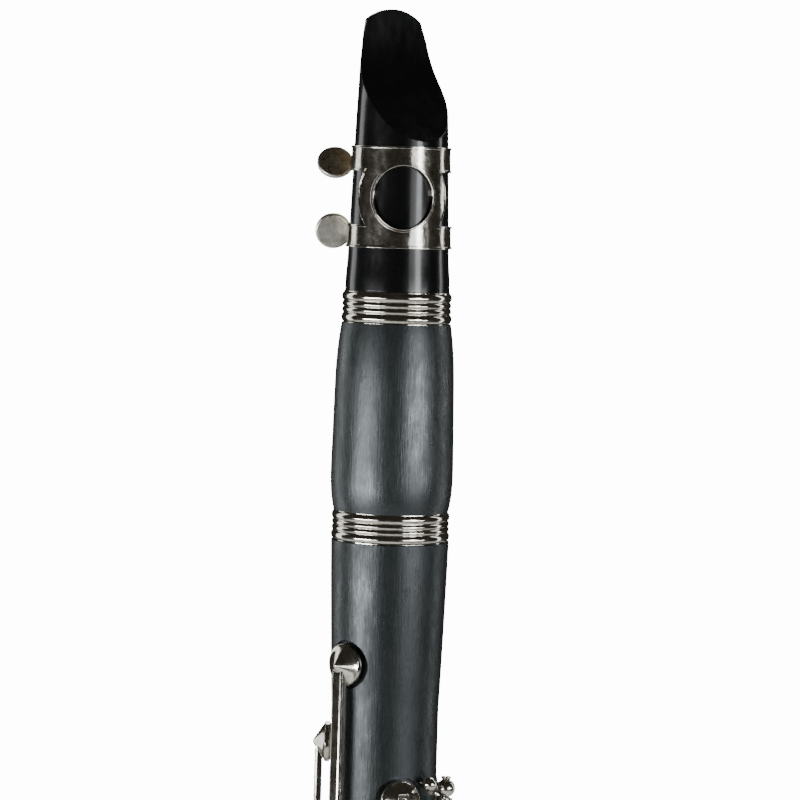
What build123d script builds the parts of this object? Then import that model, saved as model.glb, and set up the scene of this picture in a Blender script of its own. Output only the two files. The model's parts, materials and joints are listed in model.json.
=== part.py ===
from build123d import *
from math import asin, cos, hypot, radians, sin, sqrt
import os

# A B flat clarinet, standing on its bell. Millimetres, +Z up along the bore, origin at the centre of the
# bell's rim plane. The front, with the finger holes, faces -Y. Places round the body are given as an angle
# from the front, positive towards +X.

# Levels along the bore
BELL_TOP = 105.0
LOWER_TOP = 325.0
UPPER_TOP = 528.0
BARREL_TOP = 594.5
TIP = 669.5

# Bodies
BORE = 7.4
UPPER_R = 14.4
LOWER_R = 15.0
BELL_R = 40.0
TENON_R = 11.4
MIDDLE_TENON_R = 11.9
BELL_TENON_R = 12.5
MOUTHPIECE_TENON_R = 11.1
TENON_LENGTH = 16.5
MIDDLE_TENON_LENGTH = 22.0
BELL_TENON_LENGTH = 19.0
CORK_THICKNESS = 0.45
CORK_PLAY = 0.05
RING_HEIGHT = 8.0
TOP_RING_BOTTOM = 586.0
RING_SEAT_R = 13.2
SOCKET_RING_BOTTOM = 316.9
SOCKET_RING_SEAT_R = 13.6
SOCKET_RING_R = 16.4
BELL_RING_SEAT_R = 13.8
BELL_RING_R = 17.5

# Keywork
UPPER_ROD_R = 18.6
LOWER_ROD_R = 19.2
ROD = 1.1
HINGE_BORE = 1.18
TUBE = 1.9
BALL = 2.5
RING_MAJOR = 6.5
RING_MINOR = 0.8
CHIMNEY = 5.0
CHIMNEY_RISE = 2.2
FINGER_HOLE = 3.9
PAD_GAP = 0.05
PAD_THICKNESS = 1.2
CUP_SKIRT = 0.6
CUP_WALL = 1.3
CUP_CONE = 3.1
SEAT_SINK = 0.4
SPOT_DEPTH = 1.1
SPOT_MARGIN = 0.9
SEAT_MARGIN = 1.3
HOLE_MARGIN = 2.4
ARM = 2.6
ARM_RISE = 2.6
HOLE_LENGTH = 200.0

# Mouthpiece and ligature, turned on the barrel by the player
MOUTHPIECE_TURN = 10.0
LIGATURE_TURN = -16.0
REED_WIDTH = 12.8
TIP_WIDTH = 16.4
TABLE_FOOT = 602.0
# Beak's ramp: distance behind the axis and depth below the tip
BEAK = ((6.1, 0.0), (5.4, 8.0), (3.7, 15.0), (0.4, 20.5), (-4.3, 26.0), (-8.9, 31.5), (-13.4, 36.0))
BAND_BOTTOM = 606.1
BAND_TOP = 632.9
BAND_THICKNESS = 0.5
WINDOW = 8.35
WINDOW_RING = 14.2
WINDOW_Z = 619.5
SCREW_LEVELS = {"lower": 610.0, "upper": 628.4}
SCREW_R = 15.9
SCREW_HEAD_R = 4.9


# ---- places and simple solids -------------------------------------------------------------------------

def place(theta, r, z, side=0.0):
    a = radians(theta)
    return (r * sin(a) + side * cos(a), -r * cos(a) + side * sin(a), z)


def outward(theta):
    return (sin(radians(theta)), -cos(radians(theta)), 0)


def tangent(theta):
    return (cos(radians(theta)), sin(radians(theta)), 0)


def facing(theta, r, z, side=0.0):
    """Plane square to the radius: x runs round the body, y runs up, z points out."""
    return Plane(origin=place(theta, r, z, side), x_dir=tangent(theta), z_dir=outward(theta))


def closed_face(line):
    """Face inside a run of lines and curves, with a last straight edge where the run is open."""
    outline = Wire(list(line))
    if outline.is_closed:
        return make_face(outline.edges())
    return make_face([*outline.edges(), Line(outline @ 1, outline @ 0)])


def turned(*line):
    """Solid turned about the bore axis from an outline of lines and curves."""
    return revolve(Plane.XZ * closed_face(line), Axis.Z)


def turned_points(*points):
    return revolve(Plane.XZ * make_face(Polyline(*points, close=True)), Axis.Z)


def pipe(outer, inner, low, high):
    return turned_points((inner, low), (outer, low), (outer, high), (inner, high))


def drum(radius, low, high):
    return Pos(0, 0, low) * Cylinder(radius, high - low, align=(Align.CENTER, Align.CENTER, Align.MIN))


def radial_drum(theta, z, radius, low, high, side=0.0):
    spot = facing(theta, low, z, side)
    return spot * Cylinder(radius, high - low, align=(Align.CENTER, Align.CENTER, Align.MIN))


def bar(theta, low, high, inner, outer, width, side=0.0):
    """Straight bar along the body."""
    spot = facing(theta, inner, (low + high) / 2, side)
    return spot * Box(width, high - low, outer - inner, align=(Align.CENTER, Align.CENTER, Align.MIN))


def lane(theta, width, *points):
    """Bar along the body with its outline given as levels and radii."""
    face = make_face(Polyline(*[(r, z) for z, r in points], close=True))
    return Rot(0, 0, theta - 90) * extrude(Plane.XZ * face, width / 2, both=True)


def hoop(start, end, inner, outer, low, high):
    """Bar bent round the body, from one angle to the other."""
    section = Pos((inner + outer) / 2, (low + high) / 2) * Rectangle(outer - inner, high - low)
    first = min(start, end)
    return Rot(0, 0, first - 90) * revolve(Plane.XZ * section, Axis.Z, revolution_arc=abs(end - start))


def long_drum(theta, r, low, high, radius):
    x, y, _ = place(theta, r, 0)
    return Pos(x, y, 0) * drum(radius, low, high)


def cross_drum(theta, r, z, left, right, radius):
    """Cylinder lying across the body, between two distances from the middle."""
    spot = Plane(origin=place(theta, r, z, (left + right) / 2), x_dir=outward(theta), z_dir=tangent(theta))
    return spot * Cylinder(radius, right - left)


# ---- bodies --------------------------------------------------------------------------------------------

BARREL_FLANK = ((14.6, 586.0), (15.6, 577.5), (16.05, 565.0), (16.35, 550.0), (16.2, 541.0), (15.4, 536.0))
UPPER_FLANK = ((14.4, 483.0), (14.75, 492.0), (15.25, 507.5), (15.6, 519.5), (15.8, 527.9))
BELL_FLANK = ((40.0, 4.0), (36.0, 8.5), (30.2, 18.0), (25.6, 30.0), (21.8, 45.0), (19.3, 60.0), (17.9, 76.0),
              (17.3, 90.0), (17.0, 98.0))
BELL_THROAT = ((11.4, 78.0), (12.6, 66.0), (16.4, 46.0), (21.2, 30.0), (28.3, 15.0), (37.2, 0.0))
PEG_BORE_R = 11.4


def socket(radius, low, high):
    return drum(radius + CORK_THICKNESS + CORK_PLAY, low, high)


def cork_ring(radius, low, high):
    return pipe(radius + CORK_THICKNESS, radius, low, high)


def beaded_ring(lower, upper, low, high, inner):
    """Metal ring with four raised beads: broad, two narrow, broad."""
    shares = (0.0, 0.3, 0.5, 0.7, 1.0)
    height = high - low
    levels = [low + 0.25 + (height - 0.5) * share for share in shares]
    places = [(lower + (upper - lower) * (z - low) / height, z) for z in levels]
    line = [Line((inner, low), (lower, low)), Line((lower, low), places[0])]
    for start, end in zip(places, places[1:]):
        depth = 0.55 if end[1] - start[1] > 1.8 else 0.4
        middle = ((start[0] + end[0]) / 2 + depth, (start[1] + end[1]) / 2)
        line.append(ThreePointArc(start, middle, end))
    line.append(Line(places[-1], (upper, high)))
    line.append(Line((upper, high), (inner, high)))
    return turned(*line)


def make_barrel():
    bare = TENON_R + 1.0
    ring_top = UPPER_TOP + RING_HEIGHT
    body = turned(
        Line((BORE, UPPER_TOP), (RING_SEAT_R, UPPER_TOP)),
        Line((RING_SEAT_R, UPPER_TOP), (RING_SEAT_R, ring_top)),
        Line((RING_SEAT_R, ring_top), BARREL_FLANK[-1]),
        Spline(*reversed(BARREL_FLANK)),
        Line(BARREL_FLANK[0], (bare, TOP_RING_BOTTOM)),
        Line((bare, TOP_RING_BOTTOM), (bare, BARREL_TOP)),
        Line((bare, BARREL_TOP), (BORE, BARREL_TOP)),
    )
    body -= socket(TENON_R, UPPER_TOP - 1, UPPER_TOP + TENON_LENGTH + 1)
    body -= socket(MOUTHPIECE_TENON_R, BARREL_TOP - 17, BARREL_TOP + 1)
    top_ring = beaded_ring(14.2, 14.1, TOP_RING_BOTTOM, BARREL_TOP, bare)
    bottom_ring = beaded_ring(15.35, 15.25, UPPER_TOP, ring_top, RING_SEAT_R)
    return body, top_ring, bottom_ring


def spot_face(theta, z, r, seat):
    """Recess round a tone hole, with the seat for the pad left standing in it."""
    floor = seat - SPOT_DEPTH
    recess = radial_drum(theta, z, r + SPOT_MARGIN, floor, seat + 8)
    return recess - radial_drum(theta, z, r - SEAT_MARGIN, floor, seat)


def raised_seat(theta, z, r, seat):
    return radial_drum(theta, z, r - SEAT_MARGIN, 10.0, seat)


def tone_hole(theta, z, radius):
    return radial_drum(theta, z, radius, 0.0, 30.0)


def chimney(z, body_r):
    return radial_drum(0, z, CHIMNEY, 10.0, body_r + CHIMNEY_RISE)


def make_upper_joint():
    foot = LOWER_TOP - MIDDLE_TENON_LENGTH
    neck = UPPER_TOP + TENON_LENGTH
    cups = {name: spot for name, spot in CUPS.items() if spot["z"] > LOWER_TOP}
    body = turned(
        Line((BORE, foot), (MIDDLE_TENON_R, foot)),
        Line((MIDDLE_TENON_R, foot), (MIDDLE_TENON_R, LOWER_TOP)),
        Line((MIDDLE_TENON_R, LOWER_TOP), (UPPER_R, LOWER_TOP)),
        Line((UPPER_R, LOWER_TOP), UPPER_FLANK[0]),
        Spline(*UPPER_FLANK),
        Line(UPPER_FLANK[-1], (TENON_R, UPPER_FLANK[-1][1])),
        Line((TENON_R, UPPER_FLANK[-1][1]), (TENON_R, neck)),
        Line((TENON_R, neck), (BORE, neck)),
    )
    for z in UPPER_HOLES:
        body += chimney(z, UPPER_R)
    for spot in cups.values():
        if spot["seat"] < UPPER_R:
            body -= spot_face(**spot)
    for name, spot in cups.items():
        if name != "register_key":
            body -= tone_hole(spot["theta"], spot["z"], spot["r"] - HOLE_MARGIN)
    for z in UPPER_HOLES:
        body -= tone_hole(0, z, FINGER_HOLE)
    body -= tone_hole(180, THUMB_HOLE, THUMB_TUBE_R)
    body -= tone_hole(180, CUPS["register_key"]["z"], REGISTER_TUBE_R)
    return body - drum(BORE, foot - 1, neck + 1)


def make_lower_joint():
    foot = BELL_TOP - BELL_TENON_LENGTH
    cups = [spot for spot in CUPS.values() if spot["z"] < LOWER_TOP]
    bore = turned_points((0, foot - 1), (11.0, foot - 1), (11.0, foot), (BORE, 190), (BORE, LOWER_TOP + 1),
                         (0, LOWER_TOP + 1))
    shoulder = SOCKET_RING_BOTTOM
    body = turned_points((0, foot), (BELL_TENON_R, foot), (BELL_TENON_R, BELL_TOP), (16.7, BELL_TOP),
                         (LOWER_R, 118), (LOWER_R, shoulder), (SOCKET_RING_SEAT_R, shoulder),
                         (SOCKET_RING_SEAT_R, LOWER_TOP), (0, LOWER_TOP))
    for z in LOWER_HOLES:
        body += chimney(z, LOWER_R)
    for spot in cups:
        if spot["seat"] > LOWER_R:
            body += raised_seat(**spot)
    for spot in cups:
        if spot["seat"] < LOWER_R:
            body -= spot_face(**spot)
    for spot in cups:
        body -= tone_hole(spot["theta"], spot["z"], spot["r"] - HOLE_MARGIN)
    for z in LOWER_HOLES:
        body -= tone_hole(0, z, FINGER_HOLE)
    body -= socket(MIDDLE_TENON_R, LOWER_TOP - MIDDLE_TENON_LENGTH - 0.5, LOWER_TOP + 1)
    return body - bore


def make_bell():
    inner = BELL_THROAT
    body = turned(
        Line(inner[-1], (BELL_R, 0)),
        Line((BELL_R, 0), BELL_FLANK[0]),
        Spline(*BELL_FLANK),
        Line(BELL_FLANK[-1], (BELL_RING_SEAT_R, BELL_FLANK[-1][1])),
        Line((BELL_RING_SEAT_R, BELL_FLANK[-1][1]), (BELL_RING_SEAT_R, BELL_TOP)),
        Line((BELL_RING_SEAT_R, BELL_TOP), (PEG_BORE_R, BELL_TOP)),
        Line((PEG_BORE_R, BELL_TOP), (PEG_BORE_R, inner[0][1])),
        Spline(*inner),
    )
    body -= socket(BELL_TENON_R, BELL_TOP - BELL_TENON_LENGTH - 0.5, BELL_TOP + 1)
    rim = pipe(BELL_R + 0.9, BELL_R, 0.2, 3.8)
    top = pipe(BELL_RING_R, BELL_RING_SEAT_R, BELL_FLANK[-1][1], BELL_TOP)
    return body, rim, top


def make_tenon_corks():
    rings = [
        cork_ring(TENON_R, UPPER_TOP + 4, UPPER_TOP + 14),
        cork_ring(MIDDLE_TENON_R, LOWER_TOP - 18, LOWER_TOP - 5),
        cork_ring(BELL_TENON_R, BELL_TOP - 16, BELL_TOP - 4),
    ]
    return Compound(children=rings)


# ---- mouthpiece, reed and ligature ---------------------------------------------------------------------

def cone_r(z):
    """Radius of the mouthpiece's body at a level."""
    return 13.5 - (z - 603.0) * 0.0335


def table_y(z):
    """Distance of the flat table, which the reed lies on, behind the axis."""
    return 10.3 - (z - 603.0) * 0.03


def profile_block(points, width):
    """Block with its outline in the Y-Z plane."""
    face = make_face(Polyline(*points, close=True))
    return extrude(Plane.YZ * face, width / 2, both=True)


def front_block(*line):
    """Block with its outline in the X-Z plane, deep enough to cut the mouthpiece with."""
    return extrude(Plane.XZ * closed_face(line), 20, both=True)


def tip_shape(width, foot_width, foot, tip):
    """Outline of the mouthpiece or reed seen from its flat side, with a rounded tip."""
    half = width / 2
    foot_half = foot_width / 2
    shoulder = tip - 3.2
    return front_block(
        Line((-foot_half, foot), (-half, shoulder)),
        ThreePointArc((-half, shoulder), (0, tip), (half, shoulder)),
        Line((half, shoulder), (foot_half, foot)),
    )


def make_mouthpiece():
    foot = BARREL_TOP - 16
    outer = turned_points((0, foot), (MOUTHPIECE_TENON_R, foot), (MOUTHPIECE_TENON_R, BARREL_TOP),
                          (13.9, BARREL_TOP), (13.9, 597.5), (cone_r(603), 603), (cone_r(638), 638),
                          (11.6, TIP - 14), (10.6, TIP), (0, TIP))
    ramp = [(y, TIP - depth) for y, depth in BEAK]
    facing_foot = TIP - 20
    side = Wire([
        Line((table_y(foot), foot), (table_y(facing_foot), facing_foot)),
        Spline((table_y(facing_foot), facing_foot), (table_y(TIP) - 0.35, TIP - 8),
               (table_y(TIP) - 1.1, TIP)),
        Line((table_y(TIP) - 1.1, TIP), ramp[0]),
        Spline(*ramp),
        Line(ramp[-1], (-16, ramp[-1][1] - 1)),
        Line((-16, ramp[-1][1] - 1), (-16, foot)),
        Line((-16, foot), (table_y(foot), foot)),
    ])
    upper = extrude(Plane.YZ * make_face(side.edges()), 20, both=True)
    flat_sided = outer & upper
    body = flat_sided & tip_shape(TIP_WIDTH, 27, facing_foot, TIP)
    body += flat_sided & drum(20, TABLE_FOOT, facing_foot)
    body += outer & drum(20, foot, TABLE_FOOT)
    body -= drum(BORE, foot - 1, 622)
    chamber = [(14, TIP - 2), (14, TIP - 34), (-5.6, 612), (-5.6, TIP - 33), (1.8, TIP - 21),
               (5.9, TIP - 12), (table_y(TIP) - 0.6, TIP - 2)]
    body -= profile_block(chamber, 9.6)
    return body


def make_reed():
    foot = TABLE_FOOT + 0.2
    vamp = TIP - 35
    blank = turned_points((0, foot), (cone_r(foot) - 0.02, foot), (cone_r(TIP) - 0.02, TIP), (0, TIP))
    line = [(table_y(foot) + 0.01, foot), (table_y(TIP) + 0.01, TIP), (table_y(TIP) + 0.12, TIP),
            (table_y(vamp) + 2.4, vamp - 1.5), (20, vamp - 3.5), (20, foot)]
    body = blank & profile_block(line, 40) & tip_shape(REED_WIDTH, REED_WIDTH - 1.0, foot, TIP - 0.3)
    return body


def make_ligature():
    low, high = BAND_BOTTOM, BAND_TOP
    inner_low, inner_high = cone_r(low) + 0.05, cone_r(high) + 0.05
    shell = turned_points((inner_low, low), (inner_low + BAND_THICKNESS, low),
                          (inner_high + BAND_THICKNESS, high), (inner_high, high))
    around = 13.0
    ring_half = around * sin(WINDOW_RING / around)
    window_half = around * sin(WINDOW / around)
    front = Plane(origin=(0, 0, WINDOW_Z), x_dir=(1, 0, 0), z_dir=(0, -1, 0))
    disc = front * extrude(Ellipse(ring_half, WINDOW_RING), 20)
    window = front * extrude(Ellipse(window_half, WINDOW), 20)
    strips = drum(30, low - 1, low + 6.0) + drum(30, high - 6.6, high + 1)
    band = (shell & (strips + disc)) - window
    rim = front * extrude(Ellipse(window_half + 0.75, WINDOW + 0.75) - Ellipse(window_half, WINDOW), 20)
    lip_shell = turned_points((inner_low + 0.2, low), (inner_low + BAND_THICKNESS + 0.35, low),
                              (inner_high + BAND_THICKNESS + 0.35, high), (inner_high + 0.2, high))
    band += lip_shell & rim
    for edge in (low, high - 0.6, low + 5.4, high - 6.6):
        start, end = cone_r(edge) + 0.2, cone_r(edge + 0.6) + 0.2
        wide = BAND_THICKNESS + 0.1
        hem = turned_points((start, edge), (start + wide, edge), (end + wide, edge + 0.6), (end, edge + 0.6))
        hem -= window
        band += hem - disc if low < edge < high - 1 else hem
    band -= Pos(0, 15, (low + high) / 2) * Box(9.0, 8, high - low + 4)
    for z in SCREW_LEVELS.values():
        for side in (-5.6, 5.6):
            lug = cross_drum(180, SCREW_R, z, side - 1.5, side + 1.5, 2.2)
            web = bar(180, z - 2.1, z + 2.1, 10.0, SCREW_R, 2.4, side)
            band += lug + (web - drum(cone_r(z) + 0.3, z - 3, z + 3))
        band -= cross_drum(180, SCREW_R, z, -20, 20, 1.45)
    return band


def make_ligature_screw(z, tilt):
    """Thumb screw: threaded shank, collar, and a coin-shaped head in line with the shank."""
    shank = cross_drum(180, SCREW_R, z, -9.5, 9.0, 1.35)
    collar = cross_drum(180, SCREW_R, z, 7.4, 12.4, 2.0)
    coin = Plane(origin=place(180, SCREW_R, z, 11.8 + SCREW_HEAD_R), x_dir=(1, 0, 0), z_dir=outward(180))
    head = coin * Cylinder(SCREW_HEAD_R, 1.7)
    head = fillet(head.edges(), 0.6)
    return (shank + collar + head).rotate(Axis(place(180, SCREW_R, z), tangent(180)), tilt)


# ---- keywork -------------------------------------------------------------------------------------------

# Finger holes, from the top
UPPER_HOLES = (431.0, 402.0, 376.0)
LOWER_HOLES = (293.0, 270.0, 246.0)
THUMB_HOLE = 444.0
THUMB_TUBE_R = 5.1
REGISTER_TUBE_R = 2.6

SEAT = UPPER_R - SEAT_SINK
LOW_SEAT = LOWER_R - SEAT_SINK
RAISED = LOWER_R + 0.9

# Pad cups: angle, level, radius and the radius of the seat that the pad closes on
CUPS = {
    "register_key": dict(theta=180, z=504.0, r=4.2, seat=16.6),
    "throat_a_key": dict(theta=-2, z=460.2, r=5.3, seat=SEAT),
    "throat_g_sharp_key": dict(theta=73, z=455.0, r=4.8, seat=SEAT),
    "left_first_ring_key": dict(theta=0, z=417.5, r=4.3, seat=SEAT),
    "left_second_ring_key": dict(theta=0, z=388.3, r=4.5, seat=SEAT),
    "side_key_4": dict(theta=-65, z=495.5, r=5.6, seat=SEAT + 0.2),
    "side_key_3": dict(theta=-110, z=473.0, r=5.4, seat=SEAT),
    "side_key_2": dict(theta=-40, z=418.0, r=4.6, seat=SEAT),
    "side_key_1": dict(theta=-135, z=407.0, r=4.8, seat=SEAT),
    "left_sliver_key": dict(theta=-23, z=349.0, r=4.3, seat=SEAT),
    "c_sharp_key": dict(theta=126, z=343.0, r=4.8, seat=SEAT),
    "right_ring_key": dict(theta=-27, z=281.5, r=4.2, seat=LOW_SEAT),
    "right_sliver_key": dict(theta=-70, z=258.0, r=4.6, seat=LOW_SEAT),
    "low_e_key": dict(theta=0, z=128.0, r=7.2, seat=RAISED),
    "low_f_sharp_key": dict(theta=0, z=180.0, r=6.0, seat=RAISED),
    "low_f_key": dict(theta=0, z=156.0, r=6.6, seat=RAISED),
    "g_sharp_key": dict(theta=14, z=219.0, r=4.9, seat=LOW_SEAT),
}

# Keys on a tube along the body: angle and radius of the rod, ends of the tube, side that the finger is on
# (-1 towards smaller angles), travel in degrees, and whether a spring holds the pad open
TUBE_KEYS = {
    "left_first_ring_key": dict(theta=45, r=UPPER_ROD_R, ends=(414.5, 448.5), side=-1, travel=4.3, open=True),
    "left_second_ring_key": dict(theta=45, r=UPPER_ROD_R, ends=(349, 408.5), side=-1, travel=4.3, open=True),
    "throat_g_sharp_key": dict(theta=45, r=UPPER_ROD_R, ends=(449.9, 459.9), side=-1, travel=13, open=False),
    "thumb_ring_key": dict(theta=118, r=UPPER_ROD_R, ends=(430.0, 458.0), side=1, travel=3.2, open=True),
    "c_sharp_key": dict(theta=100, r=UPPER_ROD_R, ends=(331.2, 352.8), side=-1, travel=12, open=False),
    "right_ring_key": dict(theta=45, r=LOWER_ROD_R, ends=(240.8, 309.2), side=-1, travel=4.2, open=True),
    "right_sliver_key": dict(theta=-45, r=LOWER_ROD_R, ends=(252.3, 263.7), side=1, travel=12, open=False),
    "g_sharp_key": dict(theta=-16, r=LOWER_ROD_R, ends=(210.2, 227.8), side=-1, travel=13, open=False),
    "low_f_sharp_key": dict(theta=-60, r=LOWER_ROD_R, ends=(174.2, 228.3), side=1, travel=8.0, open=True),
    "low_f_key": dict(theta=-77, r=LOWER_ROD_R, ends=(149.7, 228.3), side=1, travel=7.0, open=True),
    "low_e_key": dict(theta=-94, r=LOWER_ROD_R, ends=(121.7, 228.3), side=1, travel=6.5, open=True),
    "f_sharp_lever": dict(theta=72, r=LOWER_ROD_R, ends=(176.2, 296.0), side=-1, travel=14, open=True),
    "f_lever": dict(theta=89, r=LOWER_ROD_R, ends=(152.2, 296.0), side=-1, travel=9.8, open=True),
    "e_lever": dict(theta=106, r=LOWER_ROD_R, ends=(124.2, 296.0), side=-1, travel=8.0, open=True),
}

# Keys that rock on a rod across the body: angle and level of the rod, the tube's two ends across the body
# and travel. The finger is below the rod and the cup above it, unless it is turned over.
ROCKING_KEYS = {
    "register_key": dict(theta=180, r=UPPER_ROD_R, z=478.0, ends=(-2.9, 2.9), travel=6.0, over=1),
    "throat_a_key": dict(theta=-2, r=UPPER_ROD_R, z=449.8, ends=(-2.4, 2.4), travel=11.0, over=1),
    "side_key_4": dict(theta=-58, r=UPPER_ROD_R, z=397.0, ends=(-4.2, -0.1), travel=2.0, over=1),
    "side_key_2": dict(theta=-58, r=UPPER_ROD_R, z=397.0, ends=(0.1, 4.2), travel=2.8, over=1),
    "side_key_1": dict(theta=-117, r=UPPER_ROD_R, z=388.0, ends=(-4.2, -0.1), travel=2.8, over=1),
    "side_key_3": dict(theta=-117, r=UPPER_ROD_R, z=388.0, ends=(0.1, 4.2), travel=2.0, over=1),
    "left_sliver_key": dict(theta=-23, r=UPPER_ROD_R, z=365.0, ends=(-2.4, 2.4), travel=7.0, over=-1),
}


def hinge_axis(name):
    """Hinge line of a key, pointing so that pressing the key turns it the positive way."""
    if name in TUBE_KEYS:
        key = TUBE_KEYS[name]
        return Axis(place(key["theta"], key["r"], sum(key["ends"]) / 2), (0, 0, key["side"]))
    key = ROCKING_KEYS[name]
    across = tangent(key["theta"])
    middle = sum(key["ends"]) / 2
    return Axis(place(key["theta"], key["r"], key["z"], middle), tuple(key["over"] * v for v in across))


def crown(radius, base, height):
    """Arc of a ball's cap, from a radius to the axis."""
    ball = (radius ** 2 + height ** 2) / (2 * height)
    half = asin(radius / ball) / 2
    middle = (ball * sin(half), base + height - ball * (1 - cos(half)))
    return ThreePointArc((radius, base), middle, (0, base + height))


def cup(theta, z, r, seat):
    """Spun cup: a skirt, a shoulder and a low cone, hollow below for its pad."""
    top = CUP_SKIRT + CUP_WALL
    roof = PAD_GAP + PAD_THICKNESS + PAD_GAP
    outline = Wire([
        Line((0, roof), (r - 0.35, roof)),
        Line((r - 0.35, roof), (r - 0.35, CUP_SKIRT)),
        Line((r - 0.35, CUP_SKIRT), (r, CUP_SKIRT)),
        Line((r, CUP_SKIRT), (r, top - 0.2)),
        ThreePointArc((r, top - 0.2), (r - 0.06, top - 0.06), (r - 0.2, top)),
        Line((r - 0.2, top), (0.5, top + CUP_CONE)),
        crown(0.5, top + CUP_CONE, 0.15),
        Line((0, top + CUP_CONE + 0.15), (0, roof)),
    ])
    shell = revolve(Plane.XZ * make_face(outline.edges()), Axis.Z)
    return facing(theta, seat, z) * shell


def pad_room(theta, z, r, seat):
    return radial_drum(theta, z, r - 0.35, seat - 3, seat + PAD_GAP + PAD_THICKNESS + PAD_GAP)


def pad(theta, z, r, seat):
    disc = Cylinder(r - 0.42, PAD_THICKNESS, align=(Align.CENTER, Align.CENTER, Align.MIN))
    disc = fillet(disc.edges().group_by(Axis.Z)[0], 0.4)
    return facing(theta, seat + PAD_GAP, z) * disc


def finger_ring(theta, z, body_r):
    return facing(theta, body_r + CHIMNEY_RISE - 0.7, z) * Torus(RING_MAJOR, RING_MINOR)


def touch(theta, z, r, width, height, side=0.0):
    """Rounded finger plate with its upper face at a radius."""
    plate = extrude(Ellipse(width / 2, height / 2), 1.5)
    plate = fillet(plate.edges().group_by(Axis.Z)[-1], 0.6)
    return facing(theta, r - 1.5, z, side) * plate


def key_tube(name):
    key = TUBE_KEYS[name]
    return long_drum(key["theta"], key["r"], key["ends"][0], key["ends"][1], TUBE)


def rocking_tube(name):
    key = ROCKING_KEYS[name]
    return cross_drum(key["theta"], key["r"], key["z"], key["ends"][0], key["ends"][1], TUBE)


def rocking_cup(name):
    return rocking_tube(name) + cup(**CUPS[name])


def cup_arm(name):
    """Arm from a key's tube to its cup, over the cup's top."""
    spot = CUPS[name]
    z = spot["z"]
    inner = spot["seat"] + ARM_RISE
    theta = TUBE_KEYS[name]["theta"]
    past = 5.0 if spot["theta"] > theta else -5.0
    return cup(**spot) + hoop(theta, spot["theta"] + past, inner, inner + 1.6, z - ARM / 2, z + ARM / 2)


def ring_key(name, *levels):
    """Pad cup and finger rings on one tube."""
    body_r = UPPER_R if levels[0] > LOWER_TOP else LOWER_R
    inner = body_r + 2.0
    shape = key_tube(name) + cup_arm(name)
    for z in levels:
        shape += finger_ring(0, z, body_r)
        shape += hoop(TUBE_KEYS[name]["theta"], 22.3, inner, inner + 1.6, z - 1.4, z + 1.4)
    return shape


def left_first_ring_key():
    return ring_key("left_first_ring_key", UPPER_HOLES[0]) + hoop(45, 60, 18.6, 20.0, 423.4, 426.6)


def left_second_ring_key():
    """Ring key whose bridge reaches down over the joint."""
    shape = ring_key("left_second_ring_key", UPPER_HOLES[1]) + hoop(45, 61, 19.4, 20.9, 349.8, 354)
    return shape + bar(59, 320, 354, 19.5, 20.9, 3.2)


def right_ring_key():
    """Ring key whose bridge reaches up over the joint."""
    shape = ring_key("right_ring_key", *LOWER_HOLES) + hoop(45, 60.5, 17.3, 18.5, 303, 306.5)
    return shape + bar(59, 303, 329, 17.2, 18.5, 3.0)


def thumb_ring_key():
    """Ring round the thumb hole, linked to the first ring key by an arm under its tube."""
    shape = key_tube("thumb_ring_key") + finger_ring(180, THUMB_HOLE, UPPER_R)
    shape += hoop(118, 157.5, 16.4, 18.0, 442.6, 445.4) + hoop(63, 118, 16.2, 17.5, 430.6, 433.6)
    return shape + bar(64, 423.6, 433.6, 16.2, 17.5, 3.0) + hoop(57, 64, 16.2, 17.5, 423.6, 426.4)


def register_key():
    shape = rocking_cup("register_key") + bar(180, 477, 507, 19.3, 20.9, 2.6)
    return shape + bar(180, 460, 478, 18.6, 20.4, 3.4) + touch(180, 460.5, 21.0, 7.5, 15)


def throat_a_key():
    shape = rocking_cup("throat_a_key") + bar(-2, 443, 462.5, 16.9, 18.6, 3.0)
    return shape + bar(-2, 441.5, 449, 17.6, 19.6, 3.2) + touch(-2, 443.4, 20.4, 6.4, 7.6)


def throat_g_sharp_key():
    shape = key_tube("throat_g_sharp_key") + cup_arm("throat_g_sharp_key")
    shape += hoop(28, 45, 18.4, 20.2, 450.4, 453.4)
    return shape + bar(27, 441, 453.4, 18.6, 20.0, 3.2) + touch(27, 444.6, 20.6, 5.0, 8.6)


def trill_key(name, theta, side):
    """Side key with its cup on a long straight arm, which runs into the cone just below its tip."""
    spot = CUPS[name]
    low = ROCKING_KEYS[name]["z"] + 2
    end = spot["z"] - 0.4
    inner, outer = 16.5, 18.5
    arm = lane(theta, 3.8, (low, inner), (low, outer), (end - 2, outer), (end, outer - 0.5), (end, inner))
    along = arm.edges().filter_by(Axis.Z)
    arm = fillet([edge for edge in along if hypot(edge.center().X, edge.center().Y) > inner + 1], 0.8)
    shape = rocking_cup(name) + arm + bar(theta, 360, low + 1, 17.6, 19.8, 3.6)
    return shape + touch(theta, 365, 21.0, 6.4, 15, side)


def chromatic_key(name, theta, side):
    """Side key with its cup on a short arm that bends round the body."""
    spot = CUPS[name]
    rod = ROCKING_KEYS[name]["z"]
    past = 2 if spot["theta"] > theta else -2
    shape = rocking_cup(name) + bar(theta, rod + 1, spot["z"], 17.3, 19.6, 3.2)
    shape += hoop(theta - past, spot["theta"] + past, 17.2, 19.0, spot["z"] - 1.4, spot["z"] + 1.4)
    return shape + bar(theta, 340, rod + 1, 17.6, 19.6, 3.2) + touch(theta, 347.5, 20.9, 6.2, 15, side)


def left_sliver_key():
    shape = rocking_cup("left_sliver_key") + bar(-23, 346.8, 365, 17.0, 18.8, 3.0)
    return shape + bar(-25, 365, 388, 17.9, 19.6, 2.6) + touch(-28, 387, 20.6, 5.0, 8.6)


def c_sharp_key():
    shape = key_tube("c_sharp_key") + cup_arm("c_sharp_key") + hoop(76, 100, 19.2, 20.8, 333, 336)
    return shape + bar(80, 324, 336, 19.2, 20.8, 4.0) + touch(80, 329, 21.6, 8.0, 13)


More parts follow.
